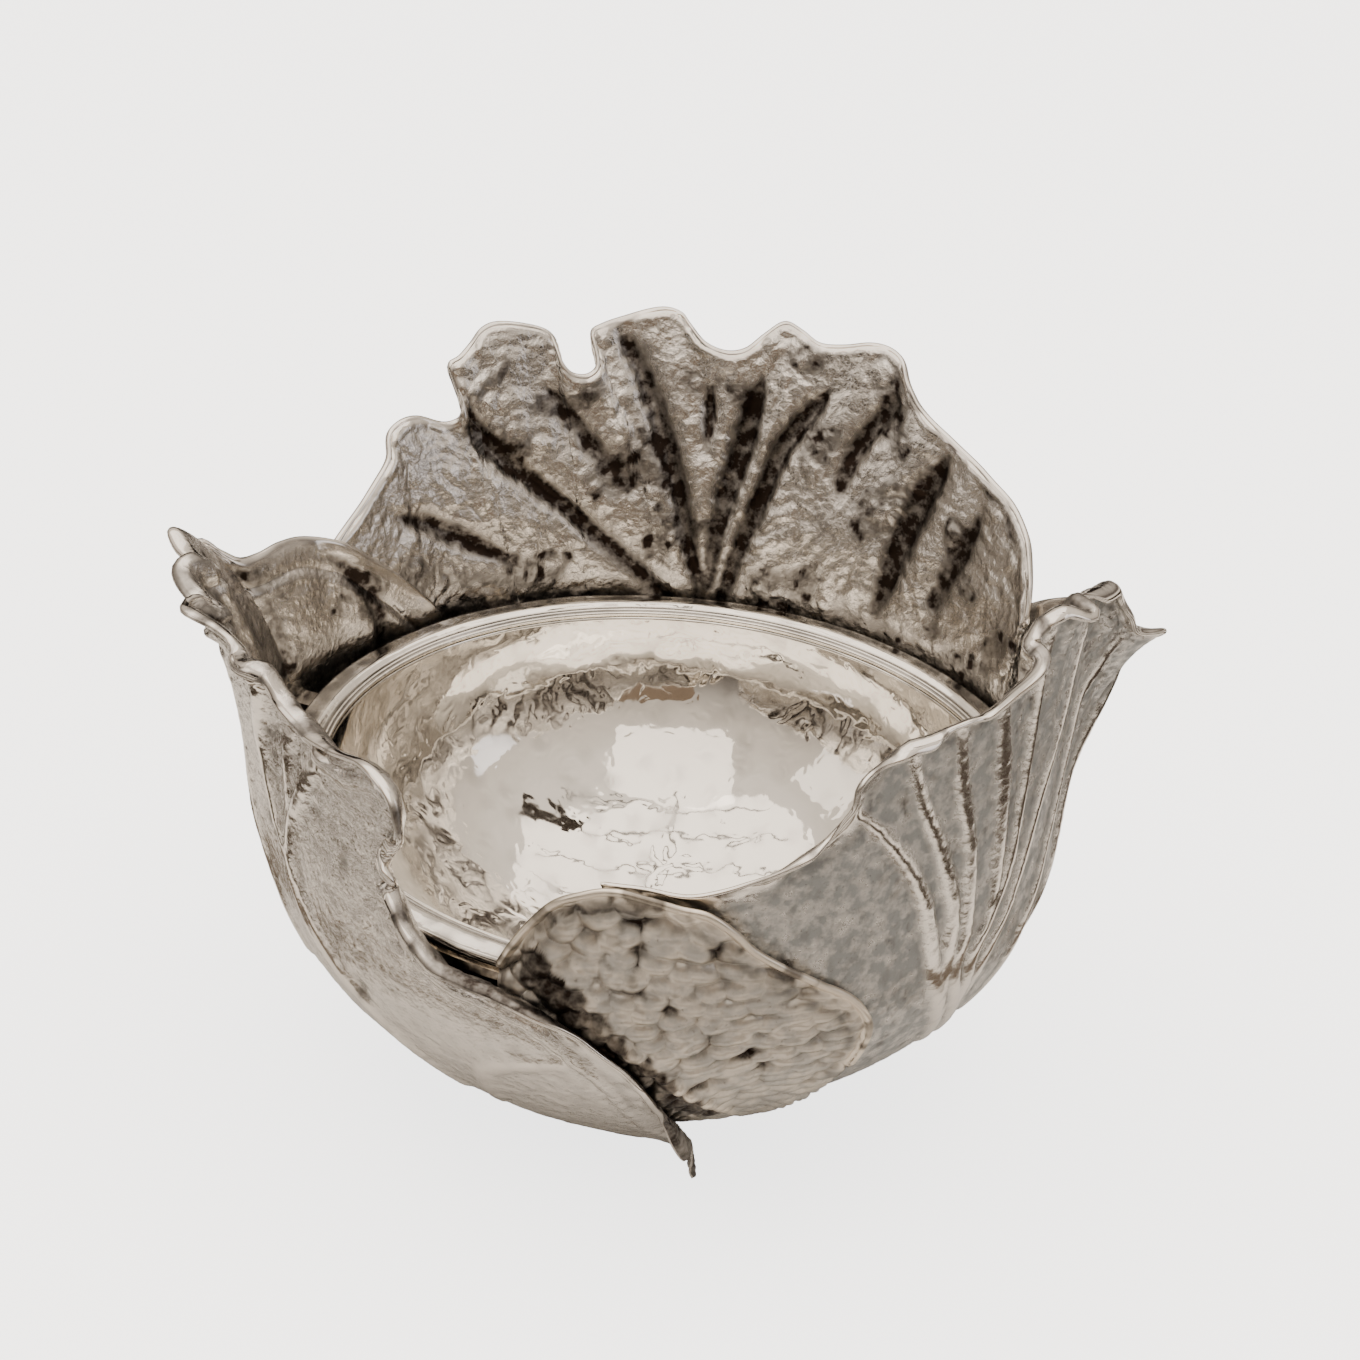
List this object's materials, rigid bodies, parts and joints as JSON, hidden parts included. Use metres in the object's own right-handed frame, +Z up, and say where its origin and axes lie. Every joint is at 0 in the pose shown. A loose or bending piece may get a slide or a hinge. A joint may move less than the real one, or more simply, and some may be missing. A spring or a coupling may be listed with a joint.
{
  "type": "leaf centrepiece bowl",
  "caption": "Round hammered liner bowl set in a cup of raised cabbage leaves with ruffled edges and chased veins, on a small foot ring; the liner lifts out.",
  "frame": {"origin": "centre of the foot ring's resting face", "axes": "+Z up along the liner's axis, -Y towards the small front leaf, -X towards the leaf with the hanging tip's ruffles, +Y towards the tall back leaf"},
  "size_m": [0.2959, 0.274, 0.1981],
  "materials": {
    "chased_silver": "chased and hammered silver, oxidised in the recesses",
    "planished_silver": "polished silver with planishing marks",
    "plain_silver": "plain polished silver"
  },
  "bodies": {
    "leaf_stand": {"back_leaf": "chased_silver", "left_leaf": "chased_silver", "right_leaf": "chased_silver", "front_leaf": "chased_silver", "seat_ring": "plain_silver", "seat_brackets": "plain_silver", "base_cup": "plain_silver", "foot_ring": "plain_silver"},
    "liner": {"liner_bowl": "planished_silver", "liner_rim": "planished_silver"}
  },
  "joints": [
    {"name": "liner_lift", "type": "slide", "parent": "leaf_stand", "child": "liner", "axis": [0, 0, 1], "range_m": [0, 0.19]}
  ]
}
